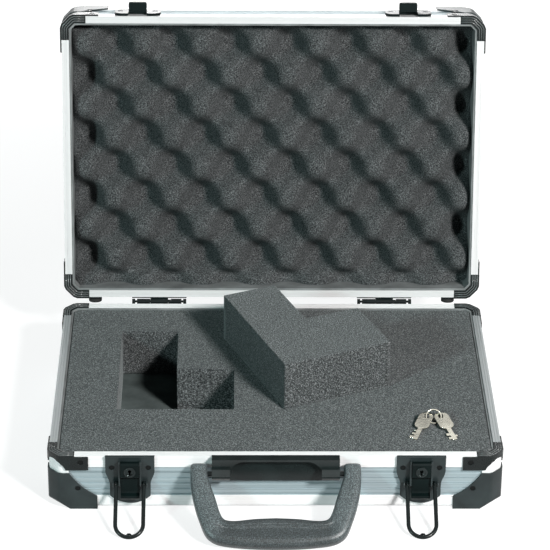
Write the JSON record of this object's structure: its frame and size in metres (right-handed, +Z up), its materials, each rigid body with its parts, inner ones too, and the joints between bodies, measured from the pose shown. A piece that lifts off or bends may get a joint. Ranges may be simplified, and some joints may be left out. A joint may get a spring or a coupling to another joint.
{
  "type": "aluminium attache case",
  "caption": "Hard attache case with aluminium profiles and black corner guards, hinged lid lined with wavy foam, cut foam in the base, draw latches with bails and a swinging handle.",
  "frame": {"origin": "on the surface the case lies on, below the middle of the base", "axes": "+X to the right along the width, +Y to the rear and the hinges, +Z up"},
  "size_m": [0.33, 0.3769, 0.2748],
  "materials": {
    "aluminium": "brushed",
    "board": "silver film with ribs",
    "corner_plastic": "satin black",
    "grip_plastic": "fine-grained dark grey",
    "black_metal": "black coating",
    "steel": "plain",
    "nickel": "nickel plate",
    "lining": "grey sheet",
    "foam": "open-cell foam",
    "rubber": "matte"
  },
  "bodies": {
    "base": {"base_floor_panel": "board", "base_front_panel": "board", "base_rear_panel": "board", "base_end_panels": "board", "base_edges": "aluminium", "base_long_rims": "aluminium", "base_short_rims": "aluminium", "base_corner_posts": "aluminium", "base_rim_corner_front_left": "corner_plastic", "base_rim_corner_front_right": "corner_plastic", "base_rim_corner_rear_left": "corner_plastic", "base_rim_corner_rear_right": "corner_plastic", "base_guard_front_left": "corner_plastic", "base_guard_front_right": "corner_plastic", "base_guard_rear_left": "corner_plastic", "base_guard_rear_right": "corner_plastic", "base_rivets": "steel", "base_lining": "lining", "base_feet": "rubber", "floor_pad": "foam", "base_foam": "foam", "foam_block": "foam", "left_latch_plate": "black_metal", "right_latch_plate": "black_metal", "pivot_pins": "steel", "handle_bracket": "black_metal", "base_hinge_leaves": "black_metal", "hinge_pins": "steel", "keys": "nickel", "key_ring": "nickel"},
    "lid": {"lid_top_panel": "board", "lid_front_panel": "board", "lid_rear_panel": "board", "lid_end_panels": "board", "lid_edges": "aluminium", "lid_long_rims": "aluminium", "lid_short_rims": "aluminium", "lid_corner_posts": "aluminium", "lid_rim_corner_front_left": "corner_plastic", "lid_rim_corner_front_right": "corner_plastic", "lid_rim_corner_rear_left": "corner_plastic", "lid_rim_corner_rear_right": "corner_plastic", "lid_guard_front_left": "corner_plastic", "lid_guard_front_right": "corner_plastic", "lid_guard_rear_left": "corner_plastic", "lid_guard_rear_right": "corner_plastic", "lid_rivets": "steel", "lid_lining": "lining", "lid_feet": "rubber", "lid_foam": "foam", "left_catch": "black_metal", "right_catch": "black_metal", "lid_hinge_leaves": "black_metal"},
    "handle": {"handle": "grip_plastic"},
    "left_lever": {"left_lever": "black_metal"},
    "right_lever": {"right_lever": "black_metal"},
    "left_bail": {"left_bail": "black_metal"},
    "right_bail": {"right_bail": "black_metal"},
    "left_plug": {"left_lock_plug": "steel"},
    "right_plug": {"right_lock_plug": "steel"}
  },
  "joints": [
    {"name": "lid_hinge", "type": "hinge", "parent": "base", "child": "lid", "pos_m": [0, 0.1163, 0.0452], "axis": [1, 0, 0], "range_deg": [0, 102.65], "deforming": ["foam_block"]},
    {"name": "handle_swing", "type": "hinge", "parent": "base", "child": "handle", "pos_m": [0, -0.1208, 0.0344], "axis": [-1, 0, 0], "range_deg": [0, 110]},
    {"name": "left_lever_swing", "type": "hinge", "parent": "base", "child": "left_lever", "pos_m": [-0.105, -0.1168, 0.0404], "axis": [-1, 0, 0], "range_deg": [0, 70]},
    {"name": "left_bail_swing", "type": "hinge", "parent": "base", "child": "left_bail", "pos_m": [-0.105, -0.1178, 0.0235], "axis": [-1, 0, 0], "range_deg": [0, 122.7]},
    {"name": "left_lock_turn", "type": "hinge", "parent": "left_lever", "child": "left_plug", "pos_m": [-0.105, -0.118, 0.0354], "axis": [0, -1, 0], "range_deg": [0, 90]},
    {"name": "right_lever_swing", "type": "hinge", "parent": "base", "child": "right_lever", "pos_m": [0.105, -0.1168, 0.0404], "axis": [-1, 0, 0], "range_deg": [0, 70]},
    {"name": "right_bail_swing", "type": "hinge", "parent": "base", "child": "right_bail", "pos_m": [0.105, -0.1178, 0.0235], "axis": [-1, 0, 0], "range_deg": [0, 122.7]},
    {"name": "right_lock_turn", "type": "hinge", "parent": "right_lever", "child": "right_plug", "pos_m": [0.105, -0.118, 0.0354], "axis": [0, -1, 0], "range_deg": [0, 90]}
  ]
}
